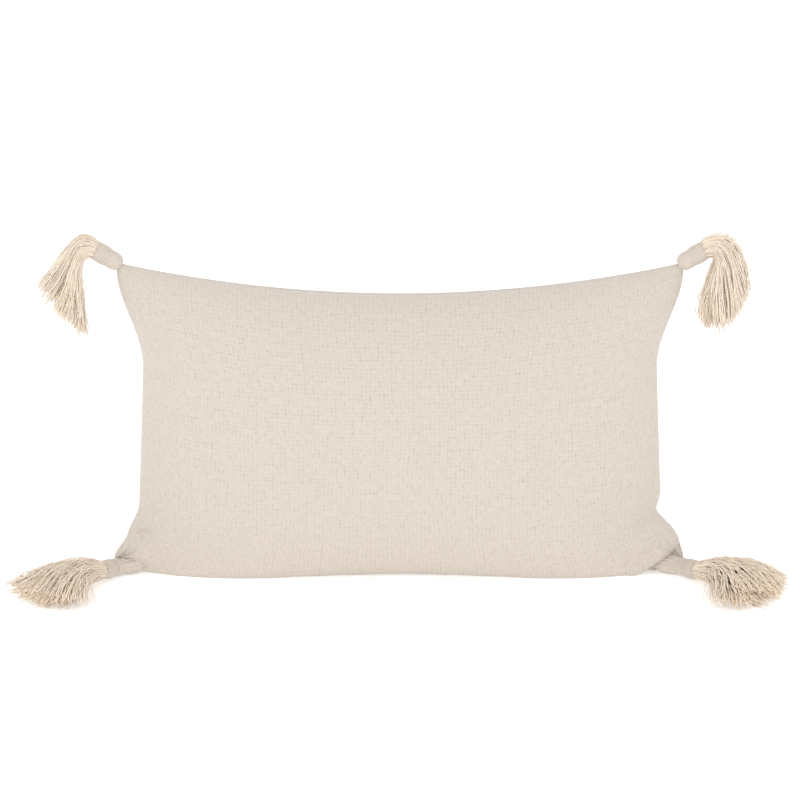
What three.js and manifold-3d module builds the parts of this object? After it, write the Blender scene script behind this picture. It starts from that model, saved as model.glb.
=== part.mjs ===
// Oblong throw pillow standing on its long edge, with a tassel at each corner.
// Millimetres. +X runs along the pillow, +Z is up and -Y is the front.
// The origin is the centre of the bounding box's base, on the floor.
import * as THREE from 'three';
import { mergeVertices } from 'three/addons/utils/BufferGeometryUtils.js';
import Module from 'manifold-3d';

// Filled cover, measured on its outside
const TOP_HALF_WIDTH = 293;
const HIP_HALF_WIDTH = 300;
const WAIST_PULL = 26;
const HEIGHT = 339;
const TOP_DIP = 34;
const THICKNESS = 153;
const EAR_LIFT = 10;
const EAR_FORWARD = 22.5;
const HIP_SQUASH = 13;
const MIDDLE_SQUASH = 4;

// Cloth and clearances
const CLOTH = 1.2;
const HEM = 3.9;
const GAP = 0.3;
const INSERT_EASE = 1.8;
const INSERT_CLOTH = 0.8;
const FILL_EASE = 2;
const CORNER_RETREAT = 0.06;

// Zipper in the bottom seam
const ZIP_LENGTH = 420;
const SLOT_WIDTH = 6;
const SLOT_FADE = 24;
const TAPE_WIDTH = 9;
const TAPE_THICKNESS = 0.6;
const ROW_WIDTH = 1.1;
const ROW_HEIGHT = 2.2;
const ROW_PART = 1.3;
const TOOTH_PITCH = 10;
const SLIDER_LENGTH = 11;
const PLATE = 0.9;
const WEB = 0.6;
const PULL_LENGTH = 24;
const PULL_WIDTH = 4.4;
const PULL_THICKNESS = 0.6;

// Care label inside the cover
const LABEL_LENGTH = 44;
const LABEL_WIDTH = 11;
const LABEL_THICKNESS = 0.4;

// Tassels
const HEAD_RADIUS = 10;
const HEAD_LENGTH = 18;
const NECK_RADIUS = 6.6;
const NECK_LENGTH = 5;
const WRAP_THICKNESS = 1.7;
const LOOP_RADIUS = 2.2;
const LOOP_CORD = 0.8;
const SKIRT_LENGTH = 118;
const TOP_SKIRT_WIDTH = 57;
const TOP_SKIRT_DEPTH = 36;
const LYING_SKIRT_WIDTH = 68;
const LYING_SKIRT_DEPTH = 36;
const FLOOR_EASE = 0.5;

// Facets
const PANEL_COLUMNS = 22;
const PANEL_ROWS = 14;
const SKIRT_SIDES = 14;
const SKIRT_RINGS = 10;
const ROUND_SIDES = 14;

const COLOURS = {
  cover: 0xeae1d5,
  insert: 0xf3f1ec,
  fill: 0xf8f8f6,
  tassel: 0xe7dac6,
  binding: 0xdccbb2,
  tape: 0xe6ddd0,
  teeth: 0xd9d0c2,
  metal: 0xb9b5ad,
  label: 0xf6f5f1,
};

const group = new THREE.Group();
const wasm = await Module();
wasm.setup();

function addMesh(name, geometry, colour, roughness, metalness, parent) {
  const material = new THREE.MeshStandardMaterial({ color: colour, roughness, metalness });
  const mesh = new THREE.Mesh(geometry, material);
  mesh.name = name;
  parent.add(mesh);
  return mesh;
}

function bareMesh(geometry) {
  const bare = geometry.clone();
  bare.deleteAttribute('normal');
  bare.deleteAttribute('uv');
  return mergeVertices(bare, 1e-4);
}

function toSolid(geometry) {
  const bare = bareMesh(geometry);
  const vertProperties = new Float32Array(bare.attributes.position.array);
  const triVerts = new Uint32Array(bare.index.array);
  return new wasm.Manifold(new wasm.Mesh({ numProp: 3, vertProperties, triVerts }));
}

function fromSolid(solid) {
  const mesh = solid.getMesh();
  const geometry = new THREE.BufferGeometry();
  geometry.setAttribute('position', new THREE.BufferAttribute(mesh.vertProperties, 3));
  geometry.setIndex(new THREE.BufferAttribute(mesh.triVerts, 1));
  return geometry;
}

// Moves every corner of a geometry with a function of its own position
function deform(geometry, place) {
  const position = geometry.attributes.position;
  const point = new THREE.Vector3();
  for (let i = 0; i < position.count; i += 1) {
    point.fromBufferAttribute(position, i);
    const moved = place(point);
    position.setXYZ(i, moved.x, moved.y, moved.z);
  }
  geometry.computeVertexNormals();
  return geometry;
}

function fade(low, high, value) {
  return THREE.MathUtils.smoothstep(value, low, high);
}

// ---- the filled shape -------------------------------------------------------
// u runs left to right and v bottom to top, each from -1 to 1. A layer has an
// inset from the outer surface, a floor that is its lowest height, its half
// gaps at the seam and at the zipper's slot, and the retreat of its corners.

function halfWidth(v) {
  const rise = (v + 1) / 2;
  const straight = THREE.MathUtils.lerp(HIP_HALF_WIDTH, TOP_HALF_WIDTH, rise);
  const drawn = fade(0.04, 0.2, rise) * (1 - fade(0.66, 0.97, rise));
  return straight - WAIST_PULL * (0.66 + 0.5 * rise) * drawn;
}

function topEdge(u) {
  return HEIGHT - TOP_DIP * (1 - u * u);
}

function bottomEdge(u) {
  const away = Math.abs(u);
  const squash = THREE.MathUtils.lerp(MIDDLE_SQUASH, HIP_SQUASH, fade(0, 0.6, away));
  return THREE.MathUtils.lerp(-squash, EAR_LIFT, fade(0.82, 1, away));
}

function fullness(u, v) {
  const along = Math.max(0, 1 - Math.abs(u) ** 2.8) ** 0.5;
  const upright = Math.max(0, 1 - Math.abs(v) ** 2.2) ** 0.52;
  const ears = 1 - 0.3 * Math.abs(u * v) ** 5;
  return along * upright * ears;
}

function slotOpening(x, v) {
  const end = 1 - fade(ZIP_LENGTH / 2 + SLOT_FADE, ZIP_LENGTH / 2 + 2 * SLOT_FADE, Math.abs(x));
  return end * (1 - fade(-0.98, -0.7, v));
}

// The lower corners lean forward where the tassels pull them along the floor
function earBend(x, z) {
  const outward = Math.abs(x) / HIP_HALF_WIDTH;
  const down = THREE.MathUtils.clamp(1 - (z - EAR_LIFT) / HEIGHT, 0, 1);
  return EAR_FORWARD * fade(0.8, 1.02, outward) ** 1.5 * down ** 5;
}

function pillowPoint(u, v, side, layer) {
  const retreat = 1 - layer.corner * Math.abs(u * v) ** 4;
  const x = u * (halfWidth(v) - layer.inset) * retreat;
  const low = bottomEdge(u) + layer.inset;
  const high = topEdge(u) - layer.inset;
  const raw = HEIGHT / 2 + (THREE.MathUtils.lerp(low, high, (v + 1) / 2) - HEIGHT / 2) * retreat;
  const z = Math.max(layer.floor, raw);
  const seam = THREE.MathUtils.lerp(layer.seam, layer.slot, slotOpening(x, v));
  const out = seam + (THICKNESS / 2 - layer.inset - seam) * fullness(u, v) * retreat;
  return new THREE.Vector3(x, side * out - earBend(x, z), z);
}

function spread(t) {
  return 0.1 * t + 0.9 * Math.sin((t * Math.PI) / 2);
}

// A box whose front and back grids split their squares along the same diagonal,
// so that layers laid inside each other stay parallel facet by facet
function gridBox() {
  const geometry = new THREE.BoxGeometry(2, 1, 2, PANEL_COLUMNS, 1, PANEL_ROWS);
  const index = geometry.index;
  const back = geometry.groups[2];
  for (let i = back.start; i < back.start + back.count; i += 6) {
    const [a, b, d, c] = [index.getX(i), index.getX(i + 1), index.getX(i + 2), index.getX(i + 4)];
    [a, b, c, a, c, d].forEach((corner, k) => index.setX(i + k, corner));
  }
  return geometry;
}

// One cloth panel: a two-sided sheet on the filled shape's front or back
function panel(side, outer, inner) {
  return deform(gridBox(), (p) => {
    const layer = p.y * side > 0 ? outer : inner;
    return pillowPoint(spread(p.x), spread(p.z), side, layer);
  });
}

function filling(layer) {
  return deform(gridBox(), (p) => pillowPoint(spread(p.x), spread(p.z), Math.sign(p.y), layer));
}

// ---- heights of the zipper, from the floor up ---------------------------------
const TAPE_BOTTOM = HEM + GAP;
const TAPE_TOP = TAPE_BOTTOM + TAPE_THICKNESS;
const ROW_BOTTOM = (TAPE_BOTTOM + TAPE_TOP) / 2 - ROW_HEIGHT / 3;
const ROW_TOP = ROW_BOTTOM + ROW_HEIGHT;
const LOWER_PLATE_TOP = ROW_BOTTOM - GAP;
const LOWER_PLATE_BOTTOM = LOWER_PLATE_TOP - PLATE;
const UPPER_PLATE_BOTTOM = ROW_TOP + GAP;
const UPPER_PLATE_TOP = UPPER_PLATE_BOTTOM + PLATE;
const ROW_INNER = ROW_PART / 2;
const ROW_OUTER = ROW_INNER + ROW_WIDTH;
const TAPE_INNER = ROW_OUTER + GAP;
const PLATE_HALF = SLOT_WIDTH / 2 - GAP;
const ZIP_FLOOR = UPPER_PLATE_TOP + GAP;

const INSERT_INSET = CLOTH + INSERT_EASE;
const FILL_INSET = INSERT_INSET + INSERT_CLOTH + FILL_EASE;

function addCover() {
  const edge = { seam: GAP / 2, slot: SLOT_WIDTH / 2, corner: 0 };
  const outer = { inset: 0, floor: 0, ...edge };
  const inner = { inset: CLOTH, floor: HEM, ...edge };
  for (const [name, side] of [['cover_front', -1], ['cover_back', 1]]) {
    const geometry = panel(side, outer, inner);
    addMesh(name, geometry, COLOURS.cover, 0.95, 0, group);
  }
}

function addInsert() {
  const edge = { seam: GAP / 2, slot: GAP / 2, corner: CORNER_RETREAT };
  const outer = { inset: INSERT_INSET, floor: ZIP_FLOOR, ...edge };
  const deeper = INSERT_INSET + INSERT_CLOTH;
  const inner = { inset: deeper, floor: ZIP_FLOOR + INSERT_CLOTH, ...edge };
  for (const [name, side] of [['insert_front', -1], ['insert_back', 1]]) {
    const geometry = panel(side, outer, inner);
    addMesh(name, geometry, COLOURS.insert, 0.9, 0, group);
  }
  const floor = ZIP_FLOOR + INSERT_CLOTH + FILL_EASE;
  const layer = { inset: FILL_INSET, floor, seam: 1, slot: 1, corner: CORNER_RETREAT * 1.5 };
  addMesh('insert_fill', filling(layer), COLOURS.fill, 1, 0, group);
}

// ---- zipper -------------------------------------------------------------------

function box(x0, x1, y0, y1, z0, z1) {
  const geometry = new THREE.BoxGeometry(x1 - x0, y1 - y0, z1 - z0);
  return geometry.translate((x0 + x1) / 2, (y0 + y1) / 2, (z0 + z1) / 2);
}

function toothedRow(side) {
  const shape = new THREE.Shape();
  const count = Math.floor((ZIP_LENGTH - 2 * TOOTH_PITCH) / TOOTH_PITCH);
  const start = (-count * TOOTH_PITCH) / 2;
  const root = ROW_INNER + ROW_WIDTH / 2;
  shape.moveTo(start, ROW_OUTER);
  for (let i = 0; i < count; i += 1) {
    const x = start + i * TOOTH_PITCH;
    shape.lineTo(x, root);
    shape.lineTo(x + TOOTH_PITCH * 0.25, ROW_INNER);
    shape.lineTo(x + TOOTH_PITCH * 0.75, ROW_INNER);
  }
  shape.lineTo(-start, root);
  shape.lineTo(-start, ROW_OUTER);
  shape.closePath();
  const geometry = new THREE.ExtrudeGeometry(shape, { depth: ROW_HEIGHT, bevelEnabled: false });
  if (side < 0) {
    geometry.rotateZ(Math.PI);
  }
  return geometry.translate(0, 0, ROW_BOTTOM);
}

function addTapesAndRows() {
  for (const [name, side] of [['front', -1], ['back', 1]]) {
    const edges = [side * TAPE_INNER, side * (TAPE_INNER + TAPE_WIDTH)].sort((a, b) => a - b);
    const half = ZIP_LENGTH / 2;
    const tape = box(-half, half, edges[0], edges[1], TAPE_BOTTOM, TAPE_TOP);
    addMesh(`zip_tape_${name}`, tape, COLOURS.tape, 0.9, 0, group);
    addMesh(`zip_teeth_${name}`, toothedRow(side), COLOURS.teeth, 0.5, 0, group);
  }
  const rowEnd = Math.floor((ZIP_LENGTH - 2 * TOOTH_PITCH) / TOOTH_PITCH) * TOOTH_PITCH / 2;
  const near = rowEnd + GAP;
  for (const [name, side] of [['zip_stop_open_end', -1], ['zip_stop_closed_end', 1]]) {
    const ends = [side * near, side * (near + 3)].sort((a, b) => a - b);
    const stop = box(ends[0], ends[1], -ROW_OUTER, ROW_OUTER, ROW_BOTTOM, ROW_TOP);
    addMesh(name, stop, COLOURS.metal, 0.35, 0.9, group);
  }
  return rowEnd;
}

// Two plates joined by a web that runs between the rows, with a bail below
const BAIL_HALF_LENGTH = 3.2;
const BAIL_HALF_WIDTH = 0.5;
const BAIL_WIRE = 0.7;
const PULL_CENTRE_DROP = 0.75;
const PULL_Z = LOWER_PLATE_BOTTOM - PULL_CENTRE_DROP;
const BAIL_BAR_TOP = PULL_Z - PULL_CENTRE_DROP;
const BAIL_BAR_BOTTOM = BAIL_BAR_TOP - BAIL_WIRE;
const PULL_RIM_X = -1.1;

function sliderSolid() {
  const half = SLIDER_LENGTH / 2;
  const wide = PLATE_HALF;
  let solid = toSolid(box(-half, half, -wide, wide, UPPER_PLATE_BOTTOM, UPPER_PLATE_TOP));
  solid = solid.add(toSolid(
    box(-half, half, -wide, wide, LOWER_PLATE_BOTTOM, LOWER_PLATE_TOP)));
  solid = solid.add(toSolid(
    box(-half, half, -WEB / 2, WEB / 2, LOWER_PLATE_BOTTOM, UPPER_PLATE_TOP)));
  const b = BAIL_HALF_WIDTH;
  const end = BAIL_HALF_LENGTH;
  solid = solid.add(toSolid(box(-end, end, -b, b, BAIL_BAR_BOTTOM, BAIL_BAR_TOP)));
  for (const side of [-1, 1]) {
    const legs = [side * end, side * (end - BAIL_WIRE)].sort((a, c) => a - c);
    solid = solid.add(toSolid(
      box(legs[0], legs[1], -b, b, BAIL_BAR_BOTTOM, LOWER_PLATE_TOP - PLATE / 2)));
  }
  return fromSolid(solid);
}

function pullTab() {
  const half = PULL_WIDTH / 2;
  const rim = PULL_THICKNESS / 2 + 0.2;
  const shape = new THREE.Shape();
  shape.moveTo(-rim, -half + 0.8);
  shape.lineTo(-rim + 0.8, -half);
  shape.absarc(PULL_LENGTH - half, 0, half, -Math.PI / 2, Math.PI / 2, false);
  shape.lineTo(-rim + 0.8, half);
  shape.lineTo(-rim, half - 0.8);
  shape.closePath();
  const eye = new THREE.Path();
  const eyeHalf = BAIL_HALF_WIDTH + 0.55;
  const eyeEnd = BAIL_HALF_LENGTH - PULL_RIM_X + 1.4;
  eye.moveTo(rim, -eyeHalf);
  eye.lineTo(rim, eyeHalf);
  eye.lineTo(eyeEnd, eyeHalf);
  eye.lineTo(eyeEnd, -eyeHalf);
  eye.closePath();
  shape.holes.push(eye);
  const settings = { depth: PULL_THICKNESS, bevelEnabled: false, curveSegments: 8 };
  return new THREE.ExtrudeGeometry(shape, settings).translate(0, 0, -PULL_THICKNESS / 2);
}

function addZipper() {
  const rowEnd = addTapesAndRows();
  const carriage = new THREE.Group();
  carriage.position.x = rowEnd - SLIDER_LENGTH;
  group.add(carriage);
  addMesh('zip_slider', sliderSolid(), COLOURS.metal, 0.3, 0.9, carriage);
  const pull = addMesh('zip_pull', pullTab(), COLOURS.metal, 0.3, 0.9, carriage);
  pull.rotation.z = Math.PI;
  pull.position.set(-PULL_RIM_X, 0, PULL_Z);
}

function addLabel() {
  const near = PLATE_HALF + GAP;
  const low = TAPE_TOP + GAP;
  const label = box(
    -LABEL_LENGTH / 2, LABEL_LENGTH / 2, near, near + LABEL_WIDTH, low, low + LABEL_THICKNESS);
  const mesh = addMesh('care_label', label, COLOURS.label, 0.8, 0, group);
  mesh.position.x = -ZIP_LENGTH / 2 + LABEL_LENGTH * 0.75;
}

// ---- tassels ------------------------------------------------------------------
// A tassel's own axis is +Z: the loop lies below zero, the head starts at zero.

const LOOP_CENTRE = -(LOOP_RADIUS + LOOP_CORD + 0.4);
const CORNER_TO_HEAD = 2 * (LOOP_RADIUS + LOOP_CORD) + 0.8;
const TASSEL_TOP = HEAD_LENGTH + NECK_LENGTH;

function headProfile() {
  const points = [new THREE.Vector2(0, 0)];
  for (let i = 1; i < 7; i += 1) {
    const angle = (Math.PI * i) / 7;
    const belly = NECK_RADIUS * (i / 7) ** 4;
    const radius = Math.max(HEAD_RADIUS * Math.sin(angle) ** 0.6, belly);
    points.push(new THREE.Vector2(radius, (HEAD_LENGTH * i) / 7));
  }
  points.push(new THREE.Vector2(NECK_RADIUS, HEAD_LENGTH));
  points.push(new THREE.Vector2(NECK_RADIUS, TASSEL_TOP));
  points.push(new THREE.Vector2(0, TASSEL_TOP));
  return points;
}

function wrapProfile() {
  const inner = NECK_RADIUS + GAP;
  const outer = inner + WRAP_THICKNESS;
  const low = HEAD_LENGTH + GAP * 2;
  const high = TASSEL_TOP - GAP;
  const soft = WRAP_THICKNESS / 2;
  return [
    new THREE.Vector2(inner, low),
    new THREE.Vector2(outer - soft, low),
    new THREE.Vector2(outer, low + soft),
    new THREE.Vector2(outer, high - soft),
    new THREE.Vector2(outer - soft, high),
    new THREE.Vector2(inner, high),
    new THREE.Vector2(inner, low),
  ];
}

// A skirt of strands: an oval section carried along its middle line
function skirtSolid(line, across, width, depth, taper) {
  const tube = new THREE.CylinderGeometry(1, 1, 1, SKIRT_SIDES, SKIRT_RINGS);
  return deform(tube, (p) => {
    const t = THREE.MathUtils.clamp(0.5 - p.y, 0, 1);
    const centre = line.getPointAt(t);
    const along = line.getTangentAt(t);
    const wide = across.clone().addScaledVector(along, -across.dot(along)).normalize();
    const thick = new THREE.Vector3().crossVectors(along, wide);
    const size = taper(t);
    const w = THREE.MathUtils.lerp(NECK_RADIUS + WRAP_THICKNESS, width / 2, size);
    const d = THREE.MathUtils.lerp(NECK_RADIUS + WRAP_THICKNESS, depth / 2, size);
    centre.addScaledVector(wide, p.x * w).addScaledVector(thick, p.z * d);
    centre.z = Math.max(FLOOR_EASE, centre.z);
    return centre;
  });
}

function skirtTaper(t) {
  const open = fade(-0.06, 0.5, t);
  return open * (1 - 0.45 * fade(0.72, 1, t));
}

function addTassel(name, corner, direction, line, across, width, depth) {
  const root = new THREE.Group();
  const turn = new THREE.Quaternion();
  turn.setFromUnitVectors(new THREE.Vector3(0, 0, 1), direction);
  root.quaternion.copy(turn);
  root.position.copy(corner).addScaledVector(direction, CORNER_TO_HEAD);
  group.add(root);

  const loop = new THREE.TorusGeometry(LOOP_RADIUS, LOOP_CORD, 6, 12);
  loop.rotateX(Math.PI / 2);
  loop.translate(0, 0, LOOP_CENTRE);
  addMesh(`${name}_loop`, loop, COLOURS.binding, 0.9, 0, root);

  const head = new THREE.LatheGeometry(headProfile(), ROUND_SIDES);
  addMesh(`${name}_head`, head.rotateX(Math.PI / 2), COLOURS.tassel, 0.95, 0, root);
  const wrap = new THREE.LatheGeometry(wrapProfile(), ROUND_SIDES);
  addMesh(`${name}_wrap`, wrap.rotateX(Math.PI / 2), COLOURS.binding, 0.9, 0, root);

  const start = root.position.clone().addScaledVector(direction, TASSEL_TOP + GAP);
  const skirt = skirtSolid(line(start, direction), across, width, depth, skirtTaper);
  addMesh(`${name}_skirt`, skirt, COLOURS.tassel, 0.95, 0, group);
}

// Upper tassels rise from the corner, fold over and hang beside the pillow
function hangingLine(start, direction, side) {
  const reach = SKIRT_LENGTH;
  const offset = (out, up) => start.clone().add(
    new THREE.Vector3(side * out * reach, 0, up * reach));
  const leaving = start.clone().addScaledVector(direction, 0.2 * reach);
  return new THREE.CubicBezierCurve3(start, leaving, offset(0.42, 0.06), offset(0.36, -0.66));
}

// Lower tassels lie on the floor, bending forward and then outward
function lyingLine(start, direction, side) {
  const reach = SKIRT_LENGTH;
  const rest = LYING_SKIRT_DEPTH / 2 + FLOOR_EASE;
  const offset = (out, forward, height) => new THREE.Vector3(
    start.x + side * out * reach, start.y - forward * reach, height);
  const leaving = start.clone().addScaledVector(direction, 0.22 * reach);
  return new THREE.CubicBezierCurve3(
    start, leaving, offset(0.35, 0.4, rest), offset(0.8, 0.34, rest * 0.72));
}

function addTassels() {
  for (const [letter, side] of [['left', -1], ['right', 1]]) {
    const top = new THREE.Vector3(side * TOP_HALF_WIDTH, 0, HEIGHT);
    const rising = new THREE.Vector3(side * 0.85, 0, 0.53).normalize();
    addTassel(
      `tassel_top_${letter}`, top, rising, (start, leaving) => hangingLine(start, leaving, side),
      new THREE.Vector3(side, 0, 0.4), TOP_SKIRT_WIDTH, TOP_SKIRT_DEPTH);
    const low = new THREE.Vector3(side * HIP_HALF_WIDTH, -EAR_FORWARD, EAR_LIFT);
    const forward = new THREE.Vector3(side * 0.64, -0.76, 0.12).normalize();
    addTassel(
      `tassel_bottom_${letter}`, low, forward, (start, leaving) => lyingLine(start, leaving, side),
      new THREE.Vector3(side * 0.5, -1, 0), LYING_SKIRT_WIDTH, LYING_SKIRT_DEPTH);
  }
}

addCover();
addInsert();
addZipper();
addLabel();
addTassels();

// The origin goes to the middle of the base of the whole object's box
const bounds = new THREE.Box3().setFromObject(group, true);
const middle = bounds.getCenter(new THREE.Vector3());
for (const child of group.children) {
  child.position.x -= middle.x;
  child.position.y -= middle.y;
  child.position.z -= bounds.min.z;
}

export default group;
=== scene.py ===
"""An oblong throw pillow in a coarse cream weave, with a yarn tassel at each corner."""

import math
import random

import bmesh
import bpy
import numpy as np
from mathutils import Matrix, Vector, noise


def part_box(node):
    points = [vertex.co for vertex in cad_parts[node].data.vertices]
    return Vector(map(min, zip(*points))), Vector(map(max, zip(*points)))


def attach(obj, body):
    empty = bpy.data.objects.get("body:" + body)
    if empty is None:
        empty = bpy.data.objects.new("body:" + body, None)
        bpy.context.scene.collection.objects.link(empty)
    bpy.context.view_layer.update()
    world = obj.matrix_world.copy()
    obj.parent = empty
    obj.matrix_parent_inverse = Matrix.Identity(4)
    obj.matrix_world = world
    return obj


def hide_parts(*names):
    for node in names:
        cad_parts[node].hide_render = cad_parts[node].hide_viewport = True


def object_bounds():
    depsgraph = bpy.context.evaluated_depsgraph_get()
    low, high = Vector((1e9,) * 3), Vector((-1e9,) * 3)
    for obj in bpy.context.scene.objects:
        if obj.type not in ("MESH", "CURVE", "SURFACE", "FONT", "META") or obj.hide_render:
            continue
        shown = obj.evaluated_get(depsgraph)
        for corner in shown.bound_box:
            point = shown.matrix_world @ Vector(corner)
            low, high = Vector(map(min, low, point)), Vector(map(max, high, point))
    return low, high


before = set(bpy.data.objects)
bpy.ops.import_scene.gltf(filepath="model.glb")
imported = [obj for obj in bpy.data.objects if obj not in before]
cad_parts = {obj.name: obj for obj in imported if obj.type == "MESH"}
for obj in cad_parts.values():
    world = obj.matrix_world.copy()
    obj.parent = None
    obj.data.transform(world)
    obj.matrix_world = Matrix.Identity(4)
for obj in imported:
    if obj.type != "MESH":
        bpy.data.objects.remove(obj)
CAD_LOW, CAD_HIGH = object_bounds()

bl_info = {
    "name": "Tasselled throw pillow",
    "version": (1, 0, 0),
    "blender": (4, 5, 0),
    "location": "3D View > Sidebar > Pillow",
    "description": "Builds an oblong woven throw pillow with yarn tassels",
    "category": "Object",
}

MM = 0.001
SEAM_HALF = 0.15  # millimetres from the seam's middle to each panel
SLOT_HALF = 2.85  # millimetres more on each side of the zipper's slot
SLOT_ENDS = (0.234, 0.258)  # distance from the middle where the slot closes, in metres
EAR_RISE = 10.0 * MM  # height of the lower corners over the floor
EAR_FORWARD = 22.5  # millimetres that the tassels pull the lower corners forward

COVER_LOW, COVER_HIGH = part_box("cover_front")
SEAM_Y = COVER_HIGH.y + SEAM_HALF * MM
HIP_HALF = COVER_HIGH.x
HEIGHT = COVER_HIGH.z
THICKNESS = 2 * (SEAM_Y - COVER_LOW.y)
FRONT_LIMIT = CAD_LOW.y - 11 * MM  # the strands reach no farther forward than this

# How the cover's cloth behaves while the filling pushes it out
CLOTH_NATURE = {
    "quality": 6,
    "mass": 0.35,
    "tension_stiffness": 40.0,
    "compression_stiffness": 40.0,
    "shear_stiffness": 12.0,
    "bending_stiffness": 2.0,
    "air_damping": 2.0,
    "use_pressure": True,
    "uniform_pressure_force": 2.0,
}
SETTLE_FRAMES = 22
INWARD_LIMIT = 2.5 * MM  # farthest that the cloth may sink towards the seam's plane
CUT_SAMPLES = 801  # places measured along the filled shape to lay the grid evenly

# Folds about the lower corners, in metres on (x, z): starts, ends and widths
LEFT_ROLL = ((-0.292, 0.026), (-0.262, 0.034), 0.011)
LEFT_CREASES = (
    (1.0, (-0.287, 0.045), (-0.262, 0.051), 0.0045),
    (0.9, (-0.296, 0.020), (-0.270, 0.012), 0.0045),
    (0.5, (-0.268, 0.030), (-0.246, 0.020), 0.006),
)
RIGHT_STEP = ((0.257, 0.000), (0.292, 0.034))
EAR_START = 0.225
NECK_X, NECK_Z = 0.302, 0.010

# Outlines to be turned, in millimetres: radius, and height from the head's root. The
# gather's height is from the neck, and its axis leads into the cover.
KNOT_OUTLINE = ((3.5, -12.5), (6.8, -10.5), (8.8, -7.0), (9.4, -3.0), (9.1, 0.5), (8.4, 2.4))
SLEEVE_OUTLINE = ((7.6, 0.3), (8.9, 1.6), (9.7, 4.5), (10.1, 9.0), (10.0, 13.5), (9.5, 17.3))
BAND_OUTLINE = ((8.3, 17.7), (9.1, 19.0), (9.1, 21.5), (8.5, 22.8))
GATHER_OUTLINE = (
    (3.0, -34.0), (8.5, -29.0), (11.2, -21.0), (10.6, -13.0), (9.2, -5.0), (7.0, -1.0))
GATHER_PLEATS = 13
LOOP_REACH = 3.4  # millimetres from the pivot to the head's root
HEAD_LENGTH = 22.5  # millimetres from the root to the mouth, where the strands leave
MOUTH_RADIUS = 8.4  # millimetres
STRAND_STEPS = 17
STRAND_LENGTH = 0.1  # as the yarn's twist is measured along it, in metres
TIP_SPREAD = 3.5  # millimetres that the strands' lengths vary by
WISP_RADIUS = 0.32 * MM
FIRST_SEED = 11

CAMERA_TILT = 18.0  # degrees down
CAMERA_DISTANCE = 2.3444
CAMERA_AIM = 0.1895  # height of the point that the camera looks at
WHITE = (1.0, 1.0, 1.0, 1.0)

# ---- settings that a user would change ---------------------------------------


class PillowSizes(bpy.types.PropertyGroup):
    """Sizes of the cover."""

    cut_length: bpy.props.FloatProperty(
        name="Cut length", description="Length of a cover panel before it is filled",
        default=0.610, unit="LENGTH")
    cut_height: bpy.props.FloatProperty(
        name="Cut height", description="Height of a cover panel before it is filled",
        default=0.372, unit="LENGTH")
    top_half: bpy.props.FloatProperty(
        name="Top half width", description="Half the distance between the upper corners",
        default=0.293, unit="LENGTH")
    waist_pull: bpy.props.FloatProperty(
        name="Waist pull", description="How far the sides draw in at their middle",
        default=0.026, unit="LENGTH")
    top_dip: bpy.props.FloatProperty(
        name="Top dip", description="How far the top seam dips at its middle",
        default=0.034, unit="LENGTH")
    cloth: bpy.props.FloatProperty(
        name="Cloth", description="Thickness of the cover's cloth",
        default=0.0012, unit="LENGTH")
    wrinkle_limit: bpy.props.FloatProperty(
        name="Wrinkle limit", description="Farthest that the filling may push the cloth",
        default=0.009, unit="LENGTH")
    grid: bpy.props.FloatProperty(
        name="Grid", description="Spacing of the cloth's mesh",
        default=0.005, unit="LENGTH")


class TasselSizes(bpy.types.PropertyGroup):
    """Sizes of the tassels."""

    strands: bpy.props.IntProperty(
        name="Strands", description="Yarn strands in one tassel", default=560)
    strand_radius: bpy.props.FloatProperty(
        name="Strand radius", description="Radius of one strand",
        default=0.00072, unit="LENGTH")
    wisps: bpy.props.IntProperty(
        name="Wisps", description="Thin stray fibres in one tassel", default=150)


class PillowColours(bpy.types.PropertyGroup):
    """Colours of the cloth and the yarn."""

    cloth: bpy.props.FloatVectorProperty(
        name="Cloth", description="Cotton on the raised threads", subtype="COLOR",
        size=3, default=(0.63, 0.563, 0.496))
    # painted shade: the darker colour put in the hollows between the threads, not a cotton of
    # another colour
    pit_shade: bpy.props.FloatVectorProperty(
        name="Pits", description="Cotton between the threads", subtype="COLOR",
        size=3, default=(0.42, 0.34, 0.265))
    yarn: bpy.props.FloatVectorProperty(
        name="Yarn", description="Outer tassel strands", subtype="COLOR",
        size=3, default=(0.89, 0.79, 0.67))
    # painted shade: the warmer, darker colour that strands deep in the bundle take in place of
    # their shade
    deep_yarn_shade: bpy.props.FloatVectorProperty(
        name="Deep yarn", description="Tassel strands deep in the bundle", subtype="COLOR",
        size=3, default=(0.95, 0.73, 0.50))
    insert: bpy.props.FloatVectorProperty(
        name="Insert", description="Cloth and filling of the insert", subtype="COLOR",
        size=3, default=(0.88, 0.87, 0.84))


# ---- shader helpers ----------------------------------------------------------


class Wire:
    """One output of a shader node, used in arithmetic."""

    def __init__(self, dye, socket):
        self.dye = dye
        self.socket = socket

    def math(self, operation, *values):
        return self.dye.node("ShaderNodeMath", {"operation": operation}, [self, *values])

    def __add__(self, other):
        return self.math("ADD", other)

    def __radd__(self, other):
        return self.math("ADD", other)

    def __sub__(self, other):
        return self.math("SUBTRACT", other)

    def __rsub__(self, other):
        return self.dye.node("ShaderNodeMath", {"operation": "SUBTRACT"}, [other, self])

    def __mul__(self, other):
        return self.math("MULTIPLY", other)

    def __rmul__(self, other):
        return self.math("MULTIPLY", other)

    def __truediv__(self, other):
        return self.math("DIVIDE", other)

    def __pow__(self, other):
        return self.math("POWER", other)

    def __abs__(self):
        return self.math("ABSOLUTE")

    def clamp(self):
        return self.math("MAXIMUM", 0.0).math("MINIMUM", 1.0)


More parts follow.
